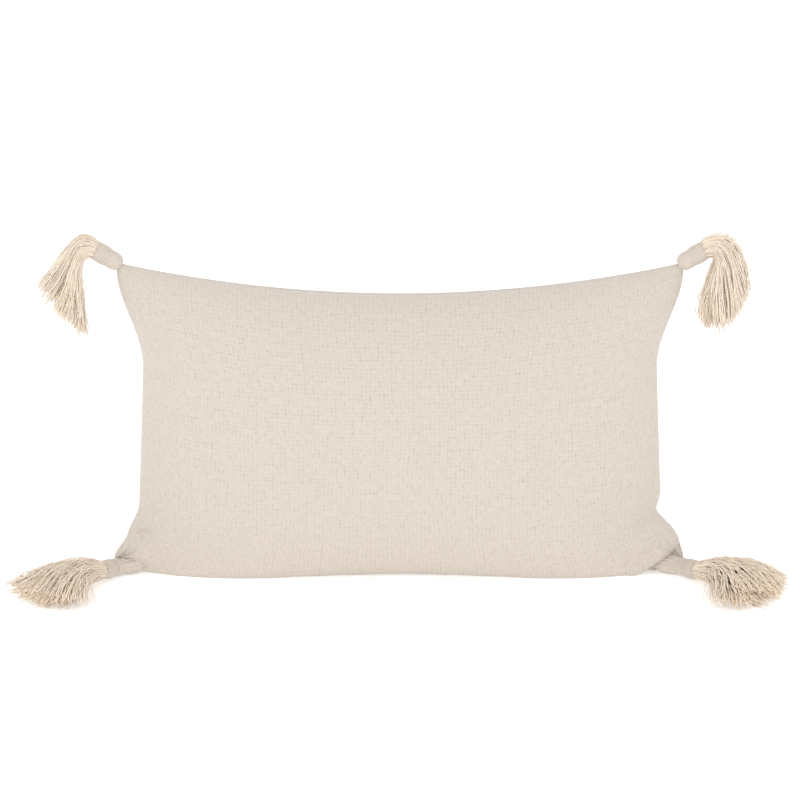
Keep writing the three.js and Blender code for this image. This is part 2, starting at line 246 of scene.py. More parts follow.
class Dye:
    """A material under construction."""

    def __init__(self, name, **constants):
        self.material = bpy.data.materials.new(name)
        self.material.use_nodes = True
        self.tree = self.material.node_tree
        self.shader = self.tree.nodes["Principled BSDF"]
        for key, value in constants.items():
            self.shader.inputs[key.replace("_", " ")].default_value = value

    def link(self, socket, value):
        if isinstance(value, Wire):
            self.tree.links.new(value.socket, socket)
        else:
            socket.default_value = value

    def node(self, kind, settings=None, inputs=(), output=0):
        """Adds a node: its settings first, then the values or links of its sockets."""
        made = self.tree.nodes.new(kind)
        for key, value in (settings or {}).items():
            setattr(made, key, value)
        pairs = inputs.items() if isinstance(inputs, dict) else enumerate(inputs)
        for key, value in pairs:
            self.link(made.inputs[key], value)
        return Wire(self, made.outputs[output])

    def mix(self, factor, first, second):
        return self.node(
            "ShaderNodeMix", {"data_type": "RGBA"},
            {0: factor, 6: colour4(first), 7: colour4(second)}, 2)

    def noise(self, vector, scale, detail=2.0, rough=0.5):
        return self.node(
            "ShaderNodeTexNoise", {},
            {"Vector": vector, "Scale": scale, "Detail": detail, "Roughness": rough})

    def object_place(self):
        return self.node("ShaderNodeTexCoord", {}, (), "Object")

    def attribute(self, name):
        return self.node("ShaderNodeAttribute", {"attribute_name": name}, (), "Fac")

    def axes(self, place):
        """The three numbers of a place."""
        split = self.node("ShaderNodeSeparateXYZ", {}, [place])
        return [Wire(self, socket) for socket in split.socket.node.outputs]

    def bump(self, height, strength, distance):
        return self.node(
            "ShaderNodeBump", {},
            {"Height": height, "Strength": strength, "Distance": distance})

    def colour(self, wire):
        self.link(self.shader.inputs["Base Color"], wire)

    def rough(self, wire):
        self.link(self.shader.inputs["Roughness"], wire)

    def normal(self, wire):
        self.link(self.shader.inputs["Normal"], wire)


def colour4(value):
    """A colour as a socket takes it, or the wire itself."""
    return value if isinstance(value, Wire) else (*value[:3], 1.0)


def shade(colour, factor):
    """A lighter or darker version of a colour."""
    return tuple(c * factor for c in colour[:3])


def weave_cloth(name, thread, pit_shade, pitch, wobble, depth):
    """A plain weave that follows the flat panel's own map, in metres."""
    dye = Dye(
        name, Roughness=0.95, Specular_IOR_Level=0.15, Sheen_Weight=0.25, Sheen_Roughness=0.6)
    flat = dye.node("ShaderNodeUVMap", {"uv_map": "flat"})
    drift = dye.noise(flat, 55.0, 3.0)
    across, upward, _ = dye.axes(flat)
    slow = dye.noise(flat, 9.0, 2.0)
    warp_count = across / pitch + (drift - 0.5) * wobble + (slow - 0.5) * 2.0
    weft_count = upward / pitch + (dye.noise(flat, 61.0, 3.0) - 0.5) * wobble
    warp = (warp_count * math.pi).math("SINE")
    weft = (weft_count * math.pi).math("SINE")
    over = (warp * weft * 2.0 + 0.5).clamp()
    rib = abs(warp) ** 0.7
    bar = abs(weft) ** 0.7
    warp_top = rib * (bar * 0.40 + 0.60)
    weft_top = bar * (rib * 0.45 + 0.30)
    height = warp_top * over + weft_top * (1 - over)
    slub = dye.noise(flat, 420.0, 3.0, 0.7)
    fuzz = dye.noise(flat, 2600.0, 2.0, 0.7)
    loose = dye.noise(flat, 170.0, 3.0, 0.65)
    drawn = dye.node(
        "ShaderNodeMapping", {}, {"Vector": flat, "Scale": (520.0, 150.0, 1.0)})
    streak = dye.noise(drawn, 1.0, 3.0, 0.6)
    # painted shade: the low places between the threads, most where the weave is loose, take the
    # darker pit colour over the cotton's own tone
    hollow_shade = ((0.55 - height) * 2.4).clamp() * (loose * 4.5 - 2.0).clamp()
    cloud = dye.noise(flat, 16.0, 3.0)
    cotton = dye.mix(cloud, shade(thread, 0.97), shade(thread, 1.025))
    fleck = dye.mix((streak * 2.4 - 0.7).clamp(), shade(thread, 0.90), shade(thread, 1.03))
    body = dye.mix(0.4, fleck, cotton)
    dye.colour(dye.mix(hollow_shade * 0.68, body, pit_shade))
    dye.rough(0.9 + slub * 0.1)
    relief = height * 0.8 + slub * 0.5 + fuzz * 0.15 + loose * 0.9 + streak * 0.8
    dye.normal(dye.bump(relief, 0.6, depth))
    return dye.material


def yarn(name, outer, shade_tint):
    """Soft yarn: painted shade makes it warmer and darker deep in the bundle; a little different
    per strand.
    """
    dye = Dye(
        name, Roughness=0.9, Specular_IOR_Level=0.15, Sheen_Weight=0.3, Sheen_Roughness=0.5)
    place = dye.object_place()
    depth = dye.attribute("depth")
    tone = dye.attribute("tone")
    along = dye.attribute("along")
    fibre = dye.noise(place, 1500.0, 3.0, 0.7)
    lock = dye.noise(place, 160.0, 2.0)
    # painted shade: depth, how deep a strand lies in the bundle, mixes in the warmer, darker
    # shade colour; the lock noise and tone vary the yarn's own colour
    shade_and_tone = (depth * 0.8 + (lock - 0.5) * 0.5 + (tone - 0.5) * 0.25).clamp()
    base = dye.mix(shade_and_tone, outer, shade_tint)
    pale = dye.mix((tone * 0.5 + fibre * 0.5).clamp(), shade(outer, 0.93), shade(outer, 1.06))
    dye.colour(dye.mix(0.35, base, pale))
    ply = (along * 2400.0).math("SINE")
    dye.normal(dye.bump(ply * 0.35 + fibre, 0.6, 0.0004))
    return dye.material


def wound_yarn(name, outer, shade_tint, pitch):
    """Yarn wound round a head: grooves between turns, by the place along its axis, with painted
    shade in the grooves.
    """
    dye = Dye(
        name, Roughness=0.92, Specular_IOR_Level=0.15, Sheen_Weight=0.25, Sheen_Roughness=0.5)
    place = dye.object_place()
    turn = dye.attribute("along") / pitch
    fibre = dye.noise(place, 1300.0, 3.0, 0.7)
    wander = dye.noise(place, 240.0, 2.0)
    groove = abs(((turn + wander * 0.5) * math.pi).math("SINE"))
    # painted shade: the grooves between the turns take the darker colour; the wander noise
    # varies the yarn's own tone
    groove_shade_and_tone = dye.mix(((1 - groove) * 0.55 + (wander - 0.5) * 0.6).clamp(), outer, shade_tint)
    dye.colour(dye.mix(fibre * 0.25, groove_shade_and_tone, shade(outer, 0.9)))
    dye.normal(dye.bump(groove * 0.8 + fibre * 0.5, 0.55, 0.0005))
    return dye.material


def plain_cloth(name, colour, scale):
    """Fine insert cloth or ribbon, by place on the object."""
    dye = Dye(name, Roughness=0.85, Sheen_Weight=0.2)
    place = dye.object_place()
    across, _, upward = dye.axes(place)
    grid = abs((across * scale).math("SINE")) * abs((upward * scale).math("SINE"))
    cloud = dye.noise(place, 30.0, 3.0)
    dye.colour(dye.mix(cloud, shade(colour, 0.93), colour))
    dye.normal(dye.bump(grid + cloud * 0.5, 0.4, 0.0003))
    return dye.material


def fluffy(name, colour):
    """Tufts of polyester filling."""
    dye = Dye(name, Roughness=1.0, Sheen_Weight=0.4)
    place = dye.object_place()
    tuft = dye.noise(place, 90.0, 5.0, 0.7)
    dye.colour(dye.mix(tuft, shade(colour, 0.86), colour))
    dye.normal(dye.bump(tuft, 0.9, 0.003))
    return dye.material


def brushed_metal(name, colour):
    """Metal with fine scratches that run along x."""
    dye = Dye(name, Metallic=1.0)
    place = dye.object_place()
    stretched = dye.node(
        "ShaderNodeMapping", {}, {"Vector": place, "Scale": (300.0, 4000.0, 4000.0)})
    grain = dye.noise(stretched, 1.0, 3.0)
    dye.colour(dye.mix(grain, shade(colour, 0.85), colour))
    dye.rough(grain * 0.2 + 0.25)
    dye.normal(dye.bump(grain, 0.15, 0.0001))
    return dye.material


def moulded_nylon(name, colour):
    """Slightly glossy nylon with a fine grain."""
    dye = Dye(name)
    place = dye.object_place()
    grain = dye.noise(place, 900.0, 2.0)
    dye.colour(dye.mix(grain, shade(colour, 0.94), colour))
    dye.rough(grain * 0.15 + 0.38)
    dye.normal(dye.bump(grain, 0.1, 0.0001))
    return dye.material


# ---- shape of the filled cover -----------------------------------------------


def ramp(low, high, value):
    """0 below low, 1 above high, and a smooth rise between them."""
    t = np.clip((np.asarray(value, float) - low) / (high - low), 0.0, 1.0)
    return t * t * (3.0 - 2.0 * t)


def bell(value, middle, width):
    """1 at the middle, fading out smoothly to both sides."""
    return np.exp(-(((value - middle) / width) ** 2))


def filled_places(u, v, side, inset, floor, sizes):
    """Places on the filled pillow for arrays of u and v, each from -1 to 1.

    side is -1 on the front and 1 on the back. inset draws the shape in from the cover,
    and nothing is lower than the floor."""
    rise = (v + 1) / 2
    half = HIP_HALF + (sizes.top_half - HIP_HALF) * rise
    drawn = ramp(0.04, 0.2, rise) * (1 - ramp(0.66, 0.97, rise))
    half = half - sizes.waist_pull * (0.66 + 0.5 * rise) * drawn
    x = u * (half - inset)
    away = np.abs(u)
    squash = (4.0 + 9.0 * ramp(0.0, 0.6, away)) * MM
    ears = ramp(0.82, 1.0, away)
    low = -squash * (1 - ears) + EAR_RISE * ears + inset
    high = HEIGHT - sizes.top_dip * (1 - u * u) - inset
    z = np.maximum(low + (high - low) * rise, floor)
    along = np.clip(1 - away ** 2.8, 0, None) ** 0.5
    hips = ramp(0.25, 0.7, away) * np.clip(-v, 0, 1)
    upright = np.clip(1 - np.abs(v) ** 2.2, 0, None) ** (0.52 - 0.15 * hips)
    full = along * upright * (1 - 0.3 * np.abs(u * v) ** 5)
    slot = (1 - ramp(*SLOT_ENDS, np.abs(x))) * (1 - ramp(-0.98, -0.7, v))
    seam = (SEAM_HALF + SLOT_HALF * slot) * MM
    out = seam + (THICKNESS / 2 - inset - seam) * full
    return np.stack([x, SEAM_Y + side * out - ear_bend(x, z), z], axis=-1)


def ear_bend(x, z):
    """How far forward the tassels pull the lower corners along the floor."""
    bend = ramp(0.8, 1.02, np.abs(x) / HIP_HALF) ** 1.5
    return EAR_FORWARD * MM * bend * np.clip(1 - (z - EAR_RISE) / HEIGHT, 0, 1) ** 5


def new_object(name, mesh, material=None, smooth=True):
    """An object in the scene that holds the mesh, shaded smooth unless it is flat."""
    obj = bpy.data.objects.new(name, mesh)
    bpy.context.scene.collection.objects.link(obj)
    if material is not None:
        mesh.materials.append(material)
    if smooth:
        for polygon in mesh.polygons:
            polygon.use_smooth = True
    return obj


def mesh_places(mesh):
    """Every vertex's place, one row each."""
    flat = np.zeros(len(mesh.vertices) * 3)
    mesh.vertices.foreach_get("co", flat)
    return flat.reshape(-1, 3)


def set_places(mesh, places):
    """Moves every vertex to its row's place."""
    mesh.vertices.foreach_set("co", places.reshape(-1))
    mesh.update()


def sewn_bag(columns, rows):
    """Two square grids sewn round their edge, with each panel marked and mapped."""
    bm = bmesh.new()
    panel = bm.faces.layers.int.new("panel")
    side = bm.verts.layers.float.new("side")
    bm.loops.layers.uv.new("flat")
    bmesh.ops.create_grid(bm, x_segments=columns, y_segments=rows, size=1.0)
    for vert in bm.verts:
        vert[side] = 0.0 if vert.is_boundary else -1.0
    copied = bmesh.ops.duplicate(bm, geom=bm.verts[:] + bm.edges[:] + bm.faces[:])
    for item in copied["geom"]:
        if isinstance(item, bmesh.types.BMFace):
            item[panel] = 1
        elif isinstance(item, bmesh.types.BMVert):
            item[side] = -item[side]
    bmesh.ops.remove_doubles(bm, verts=[v for v in bm.verts if v.is_boundary], dist=1e-6)
    return bm, panel, side


def even_steps(measure):
    """A map from even steps of cloth to steps of u or v, so that no cell stretches."""
    steps = np.linspace(-1.0, 1.0, CUT_SAMPLES)
    places = measure(steps)
    lengths = np.linalg.norm(np.diff(places, axis=0), axis=1)
    travelled = np.concatenate([[0.0], np.cumsum(lengths)])
    travelled = travelled / travelled[-1] * 2.0 - 1.0
    return lambda values: np.interp(values, travelled, steps)


def sewn_start(sizes):
    """The bag's mesh, its flat cut and its filled start, before the cloth settles."""
    columns = round(sizes.cut_length / sizes.grid)
    rows = round(sizes.cut_height / sizes.grid)
    bm, panel, side = sewn_bag(columns, rows)
    level = np.zeros(CUT_SAMPLES)
    across = even_steps(lambda s: filled_places(s, level, -1.0, 0.0, -1.0, sizes))
    upward = even_steps(lambda s: filled_places(level, s, -1.0, 0.0, -1.0, sizes))
    flat = np.array([v.co[:] for v in bm.verts])
    sides = np.array([v[side] for v in bm.verts])
    filled = filled_places(across(flat[:, 0]), upward(flat[:, 1]), sides, 0.0, 0.0, sizes)
    width, height = sizes.cut_length / 2, sizes.cut_height / 2
    uv = bm.loops.layers.uv["flat"]
    for face in bm.faces:
        mirror = -1.0 if face[panel] else 1.0
        for loop in face.loops:
            place = loop.vert.co
            loop[uv].uv = (mirror * place.x * width, place.y * height)
    for vert, place in zip(bm.verts, filled):
        vert.co = place
    bmesh.ops.recalc_face_normals(bm, faces=bm.faces[:])
    if bm.calc_volume(signed=True) < 0:
        bmesh.ops.reverse_faces(bm, faces=bm.faces[:])
    mesh = bpy.data.meshes.new("sewn_bag")
    bm.to_mesh(mesh)
    bm.free()
    cut = np.stack([flat[:, 0] * width, sides * MM, flat[:, 1] * height], axis=-1)
    return mesh, cut, filled, flat


def settle(mesh, cut, filled, flat, sizes):
    """How far the cloth moves: the flat cut gives each thread's length, pressure fills it."""
    bag = new_object("settling_bag", mesh)
    bag.shape_key_add(name="Basis")
    rest = bag.shape_key_add(name="cut")
    rest.data.foreach_set("co", cut.reshape(-1))
    held = bag.vertex_groups.new(name="held")
    base = (filled[:, 2] < 0.5 * MM) | (np.abs(flat).max(axis=1) > 0.9999)
    held.add([int(i) for i in np.nonzero(base)[0]], 1.0, "REPLACE")
    cloth = bag.modifiers.new("cloth", "CLOTH")
    for key, value in CLOTH_NATURE.items():
        setattr(cloth.settings, key, value)
    cloth.settings.rest_shape_key = rest
    cloth.settings.vertex_group_mass = held.name
    cloth.settings.effector_weights.gravity = 0.0
    cloth.collision_settings.use_collision = False
    cloth.collision_settings.use_self_collision = False
    scene = bpy.context.scene
    frames = SETTLE_FRAMES
    cloth.point_cache.frame_start = 1
    cloth.point_cache.frame_end = frames
    for step in range(1, frames + 1):
        scene.frame_set(step)
    evaluated = bag.evaluated_get(bpy.context.evaluated_depsgraph_get())
    settled = mesh_places(evaluated.data).copy()
    scene.frame_set(1)
    bpy.data.objects.remove(bag)
    moved = settled - filled
    length = np.linalg.norm(moved, axis=1, keepdims=True)
    cap = sizes.wrinkle_limit
    moved = moved * (cap * np.tanh(length / cap) / np.maximum(length, 1e-9))
    outward = np.sign(filled[:, 1] - SEAM_Y)
    moved[:, 1] = outward * np.maximum(moved[:, 1] * outward, -INWARD_LIMIT)
    return moved


def line_ridge(x, z, start, end, width):
    """1 along a line on the front, seen square on, fading out to its sides and ends."""
    (x0, z0), (x1, z1) = start, end
    length = math.hypot(x1 - x0, z1 - z0)
    t = ((x - x0) * (x1 - x0) + (z - z0) * (z1 - z0)) / length ** 2
    nearest = np.clip(t, 0.0, 1.0)
    gap = np.hypot(x - x0 - nearest * (x1 - x0), z - z0 - nearest * (z1 - z0))
    return bell(gap, 0.0, width) * (0.25 + 0.75 * np.sin(np.pi * nearest))


def fold_ears(places):
    """Rolls, creases and gathers where the tassels pull the lower corners."""
    shaped = places.copy()
    x, y, z = places.T
    out = np.maximum(SEAM_Y - ear_bend(x, z) - y, 0.0)
    front = ramp(0.5 * MM, 8.0 * MM, out)

    # the left corner: a roll above the neck, with a crease above and below it
    roll = line_ridge(x, z, *LEFT_ROLL)
    creases = sum(depth * line_ridge(x, z, *crease) for depth, *crease in LEFT_CREASES)
    push = front * (8.0 * MM * roll - np.minimum(5.0 * MM, 0.4 * out) * creases)

    # the right corner: the ear steps back behind a fold of the full front
    (x0, z0), (x1, z1) = RIGHT_STEP
    length = math.hypot(x1 - x0, z1 - z0)
    past = ((x - x0) * (z1 - z0) - (z - z0) * (x1 - x0)) / length
    near = ramp(0.0, 0.03, x - EAR_START)
    ear = ramp(-1.0 * MM, 6.0 * MM, past) * near
    edge = bell(past, -5.0 * MM, 6.0 * MM) * near
    edge *= ramp(0.075, 0.035, z)
    push += front * (4.0 * MM * edge) - 0.62 * out * ear

    # gathers that fan out from each neck
    for side in (-1.0, 1.0):
        reach = np.hypot(side * x - NECK_X, z - NECK_Z)
        turn = np.arctan2(z - NECK_Z, NECK_X - side * x)
        fan = ramp(0.060, 0.020, reach) * ramp(0.002, 0.012, reach)
        push += front * 1.3 * MM * fan * np.sin(turn * 23.0 + 1.5 * np.sin(turn * 7.0))
    shaped[:, 1] -= push

    # the rims seen from the front: a small bulge over each neck, a dent on the right
    rim = ramp(0.235, 0.285, np.abs(x))
    low = bell(z, 0.019, 0.010)
    left = -rim * (6.0 * low - 2.0 * bell(z, 0.040, 0.008)) * (x < 0)
    right = rim * (3.5 * low + 3.0 * bell(z, 0.043, 0.012) - 6.0 * bell(z, 0.068, 0.012))
    shaped[:, 0] += MM * (left + right * (x > 0))
    return shaped


def cover_panels(sizes):
    """Front and back panels of the cover, each a mesh of its own."""
    mesh, cut, filled, flat = sewn_start(sizes)
    set_places(mesh, filled + settle(mesh.copy(), cut, filled, flat, sizes))
    bm = bmesh.new()
    bm.from_mesh(mesh)
    for vert in bm.verts:
        if filled[vert.index][2] < 0.5 * MM:
            vert.co.z = filled[vert.index][2]
    bmesh.ops.subdivide_edges(bm, edges=bm.edges[:], cuts=1, smooth=0.0, use_grid_fill=True)
    places = fold_ears(np.array([v.co[:] for v in bm.verts]))
    places[:, 2] = np.maximum(places[:, 2], 0.0)
    side = bm.verts.layers.float["side"]
    edge = np.array([abs(v[side]) < 1e-4 for v in bm.verts])
    for vert, place in zip(bm.verts, places):
        vert.co = place
    panels = []
    for which in (0, 1):
        half = bm.copy()
        layer = half.faces.layers.int["panel"]
        half.verts.ensure_lookup_table()
        push = (-1.0, 1.0)[which] * 0.2 * MM
        for i in np.nonzero(edge)[0]:
            vert = half.verts[int(i)]
            slot = float(1 - ramp(*SLOT_ENDS, abs(vert.co.x)))
            low = vert.co.z < HEIGHT * 0.2
            vert.co.y += push * (1.0 + (14.0 * slot if low else 0.0))
        others = [f for f in half.faces if f[layer] != which]
        bmesh.ops.delete(half, geom=others, context="FACES")
        made = bpy.data.meshes.new(("cover_front", "cover_back")[which])
        half.to_mesh(made)
        half.free()
        panels.append(made)
    bm.free()
    return panels


def solidified(obj, thickness):
    """Gives the surface a wall on its inner side."""
    wall = obj.modifiers.new("wall", "SOLIDIFY")
    wall.thickness = thickness
    wall.offset = -1.0
    wall.use_even_offset = False
    return obj


def make_cover(context):
    """The cover's two panels and the gathers at its lower corners."""
    sizes = context.scene.pillow_sizes
    colours = context.scene.pillow_colours
    weave = weave_cloth(
        "cream_weave", colours.cloth, colours.pit_shade, pitch=4.4 * MM, wobble=0.9, depth=1.1 * MM)
    names = (("cover_front_cloth", "cover_front"), ("cover_back_cloth", "cover_back"))
    for (name, node), mesh in zip(names, cover_panels(sizes)):
        obj = solidified(new_object(name, mesh, weave), sizes.cloth)
        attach(obj, "pillow")
        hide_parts(node)
    for side, word in ((-1, "left"), (1, "right")):
        corner = Corner(f"tassel_bottom_{word}", side, False)
        gather = make_gather(f"corner_gather_{word}", corner, weave)
        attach(gather, "pillow")


def make_insert(context):
    """The insert's two panels and its filling."""
    sizes = context.scene.pillow_sizes
    colour = context.scene.pillow_colours.insert
    cloth = plain_cloth("insert_cotton", colour, 4500.0)
    filling = fluffy("polyester_filling", colour)
    for name, node, side in (
        ("insert_front_cloth", "insert_front", -1.0),
        ("insert_back_cloth", "insert_back", 1.0),
    ):
        bm = bmesh.new()
        bmesh.ops.create_grid(bm, x_segments=72, y_segments=40, size=1.0)
        inner_surface(bm, side, sizes, inset=5.5 * MM, floor=9.5 * MM, ripple=1.2 * MM)
        mesh = bpy.data.meshes.new(name)
        bmesh.ops.recalc_face_normals(bm, faces=bm.faces[:])
        bm.to_mesh(mesh)
        bm.free()
        if mesh.polygons[len(mesh.polygons) // 2].normal.y * side < 0:
            mesh.flip_normals()
        obj = solidified(new_object(name, mesh, cloth), 0.8 * MM)
        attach(obj, "pillow")
        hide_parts(node)
    bm, _, layer = sewn_bag(60, 34)
    sides = np.array([v[layer] for v in bm.verts])
    inner_surface(bm, sides, sizes, inset=10.0 * MM, floor=14.0 * MM, ripple=1.6 * MM)
    bmesh.ops.recalc_face_normals(bm, faces=bm.faces[:])
    mesh = bpy.data.meshes.new("insert_filling")
    bm.to_mesh(mesh)
    bm.free()
    obj = new_object("insert_filling", mesh, filling)
    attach(obj, "pillow")
    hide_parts("insert_fill")


def inner_surface(bm, sides, sizes, inset, floor, ripple):
    """Lays a grid on the filled shape, drawn in from the cover, with soft ripples.

    sides is -1 for the front and 1 for the back, or such a number for each vertex."""
    flat = np.array([v.co[:] for v in bm.verts])
    retreat = 1 - 0.13 * np.abs(flat[:, 0] * flat[:, 1]) ** 3
    u = 0.3 * flat[:, 0] + 0.7 * np.sin(flat[:, 0] * math.pi / 2)
    v = 0.2 * flat[:, 1] + 0.8 * np.sin(flat[:, 1] * math.pi / 2)
    places = filled_places(u * retreat, v * retreat, sides, inset, floor, sizes)
    places[:, 1] = SEAM_Y + (places[:, 1] - SEAM_Y) * retreat
    for vert, place in zip(bm.verts, places):
        wave = noise.noise(Vector(place) * 40.0) - 0.5
        out = place[1] - SEAM_Y
        place[1] -= math.copysign(min(abs(out) * 0.3, ripple) * (1 + wave), out)
        vert.co = place


# ---- tassels -----------------------------------------------------------------


def cubic(points, t):
    """The place at t on a curve with four control points."""
    a, b, c, d = points
    s = 1 - t
    return a * s ** 3 + b * 3 * s * s * t + c * 3 * s * t * t + d * t ** 3


def disc_places(count, rng):
    """Even, slightly jittered places in the unit disc."""
    golden = math.pi * (3 - math.sqrt(5))
    places = []
    for i in range(count):
        radius = math.sqrt((i + 0.5) / count) + rng.uniform(-0.03, 0.03)
        angle = i * golden + rng.uniform(-0.15, 0.15)
        places.append((radius * math.cos(angle), radius * math.sin(angle)))
    return places


def strand_object(name, strands, material):
    """One mesh of many strands. A strand is (points, radii, depth, tone), where depth is its
    share of painted shade.
    """
    curve = bpy.data.curves.new(name, "CURVE")
    curve.dimensions = "3D"
    curve.bevel_depth = 1.0
    curve.bevel_resolution = 0
    curve.use_fill_caps = False
    curve.twist_mode = "MINIMUM"
    for points, radii, depth, tone in strands:
        spline = curve.splines.new("POLY")
        spline.points.add(len(points) - 1)
        for place, radius, knot in zip(points, radii, spline.points):
            knot.co = (*place, 1.0)
            knot.radius = radius
    holder = bpy.data.objects.new(name + "_curve", curve)
    bpy.context.scene.collection.objects.link(holder)
    bpy.context.view_layer.update()
    mesh = bpy.data.meshes.new_from_object(
        holder.evaluated_get(bpy.context.evaluated_depsgraph_get()))
    bpy.data.objects.remove(holder)
    mesh.name = name
    per = len(mesh.vertices) // len(strands)
    if per * len(strands) != len(mesh.vertices):
        raise RuntimeError(f"{name}: the strands aren't alike")
    steps = len(strands[0][0])
    # depth carries each strand's share of painted shade; tone is its own random tone
    depth = np.repeat([s[2] for s in strands], per)
    tone = np.repeat([s[3] for s in strands], per)
    ring = per // steps
    where = np.tile(np.repeat(np.linspace(0.0, STRAND_LENGTH, steps), ring), len(strands))
    for key, values in (("depth", depth), ("tone", tone), ("along", where)):
        layer = mesh.attributes.new(key, "FLOAT", "POINT")
        layer.data.foreach_set("value", values.astype(np.float32))
    mesh.materials.clear()
    bm = bmesh.new()
    bm.from_mesh(mesh)
    bmesh.ops.holes_fill(bm, edges=[e for e in bm.edges if e.is_boundary], sides=0)
    bm.to_mesh(mesh)
    bm.free()
    return new_object(name, mesh, material)


class Corner:
    """Where one tassel leaves the pillow, and how its skirt falls."""

    def __init__(self, name, side, upper):
        self.name = name
        self.side = side
        self.upper = upper
        low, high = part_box(name + "_loop")
        self.pivot = (low + high) / 2
        if upper:
            self.axis = Vector((side * 0.85, 0.0, 0.53)).normalized()
        else:
            self.axis = Vector((side * 0.64, -0.76, 0.12)).normalized()
        self.head = self.pivot + self.axis * LOOP_REACH * MM
        self.mouth = self.head + self.axis * HEAD_LENGTH * MM

    def frame(self):
        """Two directions across the head's axis: outward and upward, or sideways."""
        across = Vector((0, 1, 0)) if self.upper else Vector((0, 0, 1))
        first = self.axis.cross(across).normalized() * self.side
        return first, across - self.axis * across.dot(self.axis)


def upper_tips(side, a, b, stretch):
    """Tip and end direction of a strand of an upper tassel.

    a runs from the inner edge, by the pillow, to the outer one, b from front to back."""
    fan = (a + 1) / 2
    if side < 0:
        x = -0.328 - 0.046 * fan
        z = 0.262 + 0.054 * fan
        away = Vector((-0.08 - 0.68 * fan, 0, -1.0 + 0.35 * fan))
    else:
        x = 0.312 + 0.052 * fan
        z = 0.281 + 0.028 * fan - 0.018 * math.sin(math.pi * fan)
        away = Vector((0.22 - 0.12 * fan, 0, -1.0))
    tip = Vector((x, SEAM_Y + b * 0.017, z))
    return tip + away.normalized() * stretch, (away + Vector((0, b * 0.15, 0))).normalized()


def lower_tips(side, a, b, stretch):
    """Tip and end direction of a strand of a lower tassel, lying on the floor.

    a runs from the outer edge to the front one, b from the floor up."""
    fan = (a + 1) / 2
    x = 0.404 - 0.030 * fan - 0.052 * fan * fan
    y = -0.068 - 0.053 * math.sin(math.pi * 0.56 * fan)
    pile = 0.016 if side < 0 else 0.024
    z = 0.003 + (b + 1) / 2 * pile
    away = Vector((side * (1.0 - 1.05 * fan), -0.15 - 0.85 * fan, -0.1))
    tip = Vector((side * x, SEAM_Y + y, z))
    return tip + away.normalized() * stretch, away.normalized()


def strand_path(corner, a, b, rng, lock):
    """Points of one strand, from inside the head to its tip.

    Strands of one lock wander together, and each one has a smaller kink of its own."""
    first, second = corner.frame()
    start = corner.mouth + first * a * MOUTH_RADIUS * MM + second * b * MOUTH_RADIUS * MM
    stretch = rng.gauss(0.0, TIP_SPREAD) * MM
    if corner.upper:
        tip, away = upper_tips(corner.side, a, b, stretch)
        swell = Vector((0, b * 10 * MM, 0)) + first * a * 8 * MM
        leaving = start + corner.axis * (24 + 6 * a) * MM + swell
        arriving = tip - away * 40 * MM + swell * 0.6
    else:
        tip, away = lower_tips(corner.side, a, b, stretch)
        swell = Vector((0, 0, (b + 0.7) * 9 * MM)) + first * a * 4 * MM
        leaving = start + corner.axis * 30 * MM + swell
        arriving = tip - away * 30 * MM + Vector((0, 0, (b + 1.1) * 8 * MM))
    controls = [np.array(p) for p in (start - corner.axis * 6 * MM, leaving, arriving, tip)]
    seed = Vector((lock * 7.3, lock * 3.1, lock * 1.7))
    own = Vector((rng.uniform(0, 50), rng.uniform(0, 50), rng.uniform(0, 50)))
    kink = 3.3 * MM if not corner.upper else 1.4 * MM
    points = []
    for i in range(STRAND_STEPS):
        t = i / (STRAND_STEPS - 1)
        place = cubic(controls, t)
        shared = noise.noise_vector(seed + Vector((t * 2.2, 0, 0)))
        single = noise.noise_vector(own + Vector((t * 8.0, 0, 0)))
        place = place + np.array(shared) * 7.0 * MM * t + np.array(single) * kink * t ** 0.7
        if not corner.upper:
            place[2] = max(place[2], 0.9 * MM)
        place[1] = max(place[1], FRONT_LIMIT)
        points.append(place)
    return points


def make_skirt(corner, sizes, material, seed):
    """The loose strands of one tassel and the thin fibres that stray from them."""
    rng = random.Random(seed)
    noise.seed_set(seed)  # noise_vector is otherwise seeded from the clock
    strands = []
    for a, b in disc_places(sizes.strands, rng):
        # strands from the same patch of the mouth hang together in one lock
        lock = int((a + 2) * 3.1) * 17 + int((b + 2) * 2.6)
        points = strand_path(corner, a, b, rng, lock)
        wide = sizes.strand_radius * rng.uniform(0.75, 1.2)
        radii = [
            wide * (1 - 0.35 * (i / (STRAND_STEPS - 1)) ** 3) for i in range(STRAND_STEPS)]
        # painted shade: strands near the middle of the mouth lie deep in the bundle and get more
        # of the darker, warmer colour
        depth = 1.0 - min(1.0, math.hypot(a, b)) ** 2
        # painted shadow: the inner strands of the upper right tassel get extra shade colour, for
        # the shaded gap under its head
        if corner.upper and corner.side > 0:
            depth += max(0.0, -0.3 - a)
        strands.append((points, radii, 0.25 + 0.6 * depth * rng.uniform(0.6, 1.0), rng.random()))
    for i in range(sizes.wisps):
        angle = rng.uniform(0, 2 * math.pi)
        reach = rng.uniform(0.85, 1.12)
        a, b = reach * math.cos(angle), reach * math.sin(angle)
        points = strand_path(corner, a, b, rng, 900 + i)
        strands.append((points, [WISP_RADIUS] * STRAND_STEPS, 0.0, rng.random()))
    return strand_object(corner.name + "_strands", strands, material)


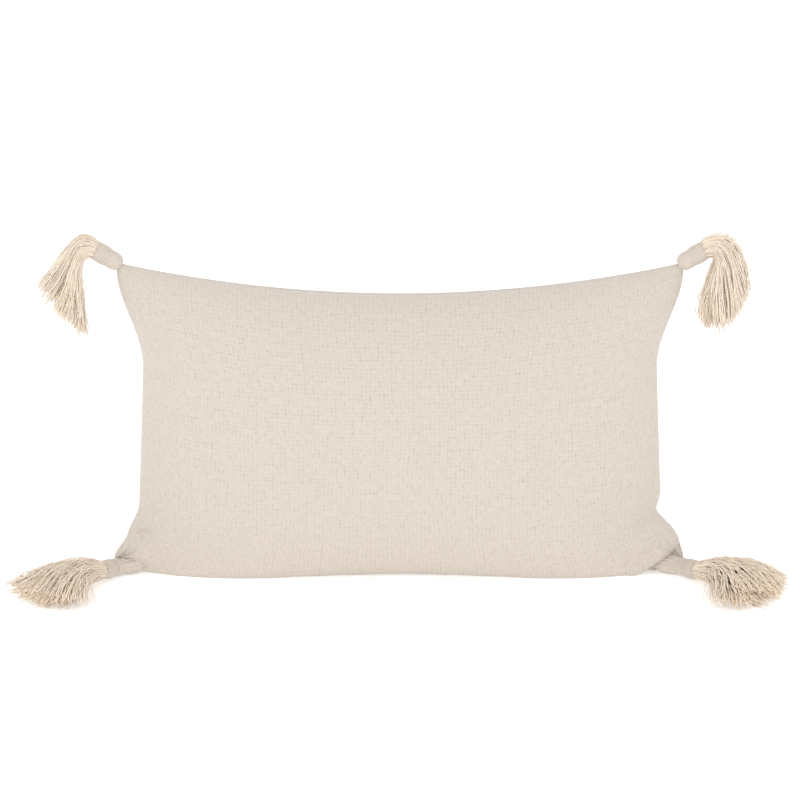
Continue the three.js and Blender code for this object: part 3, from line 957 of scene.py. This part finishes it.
def turned(name, profile, sides, corner, material):
    """A closed round piece about the tassel's axis, from (radius, height) pairs."""
    bm = bmesh.new()
    along = bm.verts.layers.float.new("along")
    verts = [bm.verts.new((max(r, 0.0), 0.0, h)) for r, h in profile]
    edges = [bm.edges.new(pair) for pair in zip(verts, verts[1:])]
    bmesh.ops.spin(
        bm, geom=verts + edges, axis=(0, 0, 1), cent=(0, 0, 0), dvec=(0, 0, 0),
        angle=2 * math.pi, steps=sides, use_merge=True, use_duplicate=False)
    bmesh.ops.remove_doubles(bm, verts=bm.verts[:], dist=1e-6)
    bmesh.ops.recalc_face_normals(bm, faces=bm.faces[:])
    low = min(h for r, h in profile)
    for vert in bm.verts:
        vert[along] = vert.co.z - low
    turn = Vector((0, 0, 1)).rotation_difference(corner.axis).to_matrix().to_4x4()
    bmesh.ops.transform(bm, matrix=turn, verts=bm.verts[:])
    bmesh.ops.translate(bm, vec=corner.head, verts=bm.verts[:])
    mesh = bpy.data.meshes.new(name)
    bm.to_mesh(mesh)
    bm.free()
    return new_object(name, mesh, material)


def make_gather(name, corner, material):
    """The lower corner's cloth, drawn together in pleats into the tassel's neck."""
    bm = bmesh.new()
    uv = bm.loops.layers.uv.new("flat")
    radii, heights = zip(*GATHER_OUTLINE)
    steps = np.linspace(heights[0], heights[-1], 18)
    radii = np.interp(steps, heights, radii)
    verts = [bm.verts.new((r * MM, 0.0, h * MM)) for r, h in zip(radii, steps)]
    edges = [bm.edges.new(pair) for pair in zip(verts, verts[1:])]
    bmesh.ops.spin(
        bm, geom=verts + edges, axis=(0, 0, 1), cent=(0, 0, 0), dvec=(0, 0, 0),
        angle=2 * math.pi, steps=104, use_merge=True, use_duplicate=False)
    bmesh.ops.holes_fill(bm, edges=[e for e in bm.edges if e.is_boundary], sides=0)
    bmesh.ops.recalc_face_normals(bm, faces=bm.faces[:])
    for face in bm.faces:
        middle = math.atan2(face.calc_center_median().y, face.calc_center_median().x)
        for loop in face.loops:
            angle = math.atan2(loop.vert.co.y, loop.vert.co.x)
            angle += 2 * math.pi * round((middle - angle) / (2 * math.pi))
            loop[uv].uv = (angle * 12.0 * MM, loop.vert.co.z)
    for vert in bm.verts:
        angle = math.atan2(vert.co.y, vert.co.x)
        fold = 0.07 * math.sin(
            GATHER_PLEATS * angle + 2.0 * math.sin(2 * angle + vert.co.z * 60.0))
        vert.co.x *= 1 + fold
        vert.co.y *= 1 + fold
    inward = Vector((-corner.side * 0.90, 0.44, 0.10)).normalized()
    turn = Vector((0, 0, -1)).rotation_difference(inward).to_matrix().to_4x4()
    bmesh.ops.transform(bm, matrix=turn, verts=bm.verts[:])
    bmesh.ops.translate(bm, vec=corner.pivot, verts=bm.verts[:])
    for vert in bm.verts:
        vert.co.z = max(vert.co.z, 0.2 * MM)
    mesh = bpy.data.meshes.new(name)
    bm.to_mesh(mesh)
    bm.free()
    return new_object(name, mesh, material)


def wound_profile(outline, turn, height):
    """A closed outline with one rounded rise for each turn of yarn."""
    radii = np.array([r * MM for r, h in outline])
    heights = np.array([h * MM for r, h in outline])
    steps = np.linspace(heights[0], heights[-1], int((heights[-1] - heights[0]) / turn * 4) + 1)
    smooth = np.interp(steps, heights, radii)
    rise = height * np.abs(np.sin(np.pi * (steps - heights[0]) / turn)) ** 0.6
    return [(0.0, steps[0]), *zip(smooth + rise, steps), (0.0, steps[-1])]


def make_tassel(context, name, side, upper, seed):
    """One tassel: its knot, its wound head, the band round its neck and its skirt."""
    sizes = context.scene.tassel_sizes
    yarns = shared_yarns(context)
    corner = Corner(name, side, upper)
    body, loop_body = name, name + "_loop"

    knot = wound_profile(KNOT_OUTLINE, turn=1.9 * MM, height=0.3 * MM)
    loop = turned(name + "_knot", knot, 24, corner, yarns["wound"])
    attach(loop, loop_body)
    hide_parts(name + "_loop")

    sleeve = wound_profile(SLEEVE_OUTLINE, turn=1.5 * MM, height=0.22 * MM)
    head = turned(name + "_sleeve", sleeve, 32, corner, yarns["head"])
    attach(head, body)
    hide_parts(name + "_head")

    band = wound_profile(BAND_OUTLINE, turn=1.7 * MM, height=0.45 * MM)
    wrap = turned(name + "_band", band, 32, corner, yarns["wound"])
    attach(wrap, body)
    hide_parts(name + "_wrap")

    skirt = make_skirt(corner, sizes, yarns["strand"], seed)
    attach(skirt, body)
    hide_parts(name + "_skirt")


def shared_yarns(context):
    """The tassels' three yarn finishes, made once."""
    colours = context.scene.pillow_colours
    found = bpy.data.materials.get("tassel_strands")
    if found is None:
        yarn("tassel_strands", colours.yarn, colours.deep_yarn_shade)
        # the pit shade colour is painted into the grooves of the wound yarn
        wound_yarn("wound_binding", shade(colours.cloth, 1.03), colours.pit_shade, 1.8 * MM)
        wound_yarn("wound_head", colours.cloth, colours.pit_shade, 1.5 * MM)
    return {
        "strand": bpy.data.materials["tassel_strands"],
        "wound": bpy.data.materials["wound_binding"],
        "head": bpy.data.materials["wound_head"],
    }


# ---- zipper and label --------------------------------------------------------


def finish_zipper(context):
    """The zipper and the label keep their shapes and get their finishes."""
    colours = context.scene.pillow_colours
    finishes = {
        "zip_tape": plain_cloth("zip_tape_knit", colours.cloth, 3500.0),
        "zip_teeth": moulded_nylon("zip_nylon", shade(colours.cloth, 0.9)),
        "zip_stop": brushed_metal("zip_alloy", (0.52, 0.50, 0.47)),
        "care_label": plain_cloth("label_ribbon", colours.insert, 9000.0),
    }
    finishes["zip_slider"] = finishes["zip_stop"]
    finishes["zip_pull"] = finishes["zip_stop"]
    for node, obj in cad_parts.items():
        for start, material in finishes.items():
            if node.startswith(start):
                for slot in obj.material_slots:
                    slot.material = material


# ---- floor, light and camera -------------------------------------------------


def pale_floor(name, colour):
    """A white floor that glows a little, so that it has no edge against the world."""
    dye = Dye(name, Roughness=0.9, Emission_Strength=0.3, Emission_Color=WHITE)
    grain = dye.noise(dye.object_place(), 3.0, 2.0)
    dye.colour(dye.mix(grain, shade(colour, 0.995), colour))
    return dye.material


def area_light(name, place, target, size, power):
    """A round soft light that faces the target."""
    data = bpy.data.lights.new(name, "AREA")
    data.shape = "DISK"
    data.size = size
    data.energy = power
    lamp = bpy.data.objects.new(name, data)
    bpy.context.scene.collection.objects.link(lamp)
    lamp.location = place
    lamp.rotation_euler = (Vector(target) - Vector(place)).to_track_quat("-Z", "Y").to_euler()


def make_stage(context):
    """The floor, the white surroundings, two lights and the camera."""
    bm = bmesh.new()
    bmesh.ops.create_grid(bm, x_segments=1, y_segments=1, size=14.0)
    mesh = bpy.data.meshes.new("floor")
    bm.to_mesh(mesh)
    bm.free()
    floor = new_object("floor", mesh, pale_floor("floor_white", (0.97, 0.97, 0.97)), False)

    world = bpy.data.worlds.new("studio")
    context.scene.world = world
    world.use_nodes = True
    background = world.node_tree.nodes["Background"]
    background.inputs["Color"].default_value = WHITE
    background.inputs["Strength"].default_value = 1.0
    target = (0.0, SEAM_Y, 0.17)
    area_light("key", (-0.9, -1.6, 1.9), target, size=1.4, power=11.0)
    area_light("fill", (1.5, -1.4, 1.0), target, size=1.6, power=3.5)
    context.scene.view_settings.view_transform = "Standard"

    camera = bpy.data.cameras.new("camera")
    camera.lens = 100.0
    camera.sensor_width = 36.0
    camera.dof.use_dof = False
    obj = bpy.data.objects.new("camera", camera)
    context.scene.collection.objects.link(obj)
    lift = math.radians(CAMERA_TILT)
    back = Vector((0.0, -math.cos(lift), math.sin(lift)))
    obj.location = Vector((0.0, SEAM_Y, CAMERA_AIM)) + back * CAMERA_DISTANCE
    obj.rotation_mode = "QUATERNION"
    obj.rotation_quaternion = (-back).to_track_quat("-Z", "Y")
    context.scene.camera = obj


# ---- operators, panel and registration ---------------------------------------


class PILLOW_OT_cover(bpy.types.Operator):
    """Sew, fill and finish the cover's two panels"""

    bl_idname = "pillow.cover"
    bl_label = "Cover"

    def execute(self, context):
        make_cover(context)
        return {"FINISHED"}


class PILLOW_OT_insert(bpy.types.Operator):
    """Make the insert and its filling"""

    bl_idname = "pillow.insert"
    bl_label = "Insert"

    def execute(self, context):
        make_insert(context)
        return {"FINISHED"}


class PILLOW_OT_zipper(bpy.types.Operator):
    """Finish the zipper and the label"""

    bl_idname = "pillow.zipper"
    bl_label = "Zipper and label"

    def execute(self, context):
        finish_zipper(context)
        return {"FINISHED"}


class PILLOW_OT_tassels(bpy.types.Operator):
    """Make the tassel at each corner"""

    bl_idname = "pillow.tassels"
    bl_label = "Tassels"

    def execute(self, context):
        seed = FIRST_SEED
        for side, word in ((-1, "left"), (1, "right")):
            for upper, place in ((True, "top"), (False, "bottom")):
                make_tassel(context, f"tassel_{place}_{word}", side, upper, seed)
                seed += 1
        return {"FINISHED"}


class PILLOW_OT_stage(bpy.types.Operator):
    """Lay the floor and place the lights and the camera"""

    bl_idname = "pillow.stage"
    bl_label = "Stage"

    def execute(self, context):
        make_stage(context)
        return {"FINISHED"}


OPERATORS = (
    PILLOW_OT_stage, PILLOW_OT_cover, PILLOW_OT_insert, PILLOW_OT_zipper, PILLOW_OT_tassels)


class PILLOW_PT_panel(bpy.types.Panel):
    """Lists the pillow's settings and its steps."""

    bl_idname = "PILLOW_PT_panel"
    bl_label = "Throw pillow"
    bl_space_type = "VIEW_3D"
    bl_region_type = "UI"
    bl_category = "Pillow"

    def draw(self, context):
        for group in ("pillow_sizes", "tassel_sizes", "pillow_colours"):
            settings = getattr(context.scene, group)
            box = self.layout.box()
            for key in settings.__annotations__:
                box.prop(settings, key)
        for operator in OPERATORS:
            self.layout.operator(operator.bl_idname)


CLASSES = (PillowSizes, TasselSizes, PillowColours, *OPERATORS, PILLOW_PT_panel)


def register():
    """Adds the settings, the operators and the panel."""
    for made in CLASSES:
        bpy.utils.register_class(made)
    bpy.types.Scene.pillow_sizes = bpy.props.PointerProperty(type=PillowSizes)
    bpy.types.Scene.tassel_sizes = bpy.props.PointerProperty(type=TasselSizes)
    bpy.types.Scene.pillow_colours = bpy.props.PointerProperty(type=PillowColours)


def unregister():
    """Takes away what register adds."""
    del bpy.types.Scene.pillow_sizes
    del bpy.types.Scene.tassel_sizes
    del bpy.types.Scene.pillow_colours
    for made in reversed(CLASSES):
        bpy.utils.unregister_class(made)


def main():
    """Makes every piece in order."""
    register()
    for operator in OPERATORS:
        family, name = operator.bl_idname.split(".")
        getattr(getattr(bpy.ops, family), name)()


if __name__ == "__main__":
    main()
